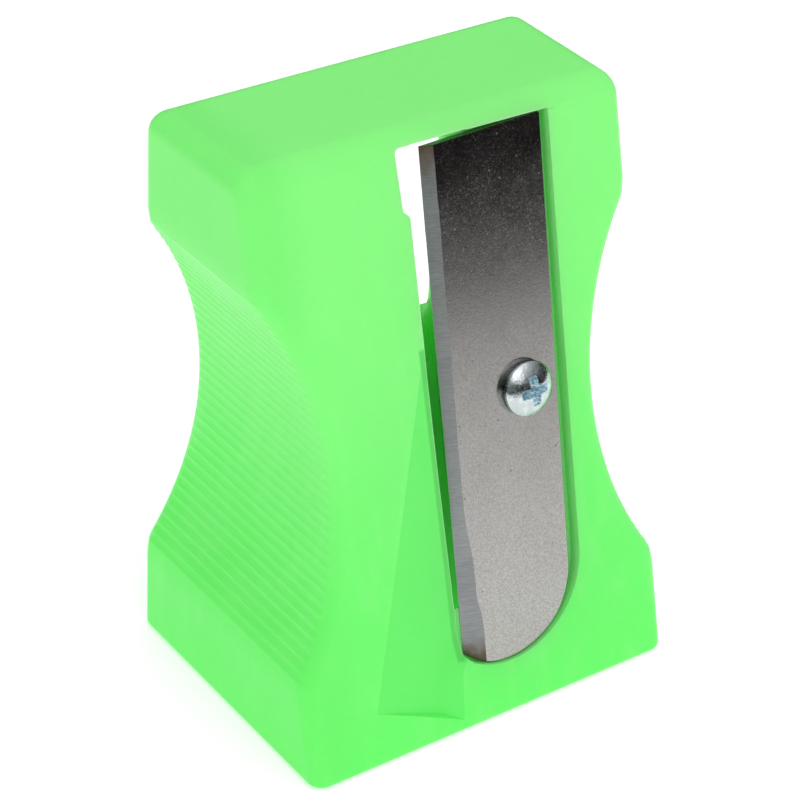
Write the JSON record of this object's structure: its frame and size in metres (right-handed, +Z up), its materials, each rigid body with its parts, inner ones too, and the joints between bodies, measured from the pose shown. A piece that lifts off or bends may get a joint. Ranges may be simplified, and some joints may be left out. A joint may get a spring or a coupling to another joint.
{
  "type": "pencil sharpener",
  "caption": "Small wedge-shaped pencil sharpener with a waisted moulded body, a screwed-down steel blade beside its shaving slot and a pencil bore in its base.",
  "frame": {"origin": "centre of the base, on the surface the sharpener stands on", "axes": "+Z up along the pencil bore to the thin end, -Y towards the sloping blade face, +X to the right of someone looking at that face"},
  "size_m": [0.0194, 0.0142, 0.0264],
  "materials": {
    "body_plastic": "translucent neon green moulded plastic, satin to semi-gloss, with fine grip ribs on the waisted sides",
    "blade_steel": "satin tool steel, finely scratched, with a cross-ground bevel",
    "screw_zinc": "bright zinc plate with a slightly blue cross recess"
  },
  "bodies": {
    "sharpener": {"sharpener_body": "body_plastic"},
    "blade": {"blade": "blade_steel"},
    "screw": {"blade_screw": "screw_zinc"}
  },
  "joints": [
    {"name": "blade_lift", "type": "slide", "parent": "sharpener", "child": "blade", "axis": [0, -0.9664, 0.2571], "range_m": [0, 0.0048]},
    {"name": "screw_turn", "type": "hinge", "parent": "blade", "child": "screw", "pos_m": [0.00327, -0.00285, 0.01408], "axis": [0, -0.9664, 0.2571], "range_deg": [0, 2880]}
  ],
  "couplings": [
    {"joint": "screw_turn", "follows": "blade_lift", "rad_per_m": 10472}
  ]
}
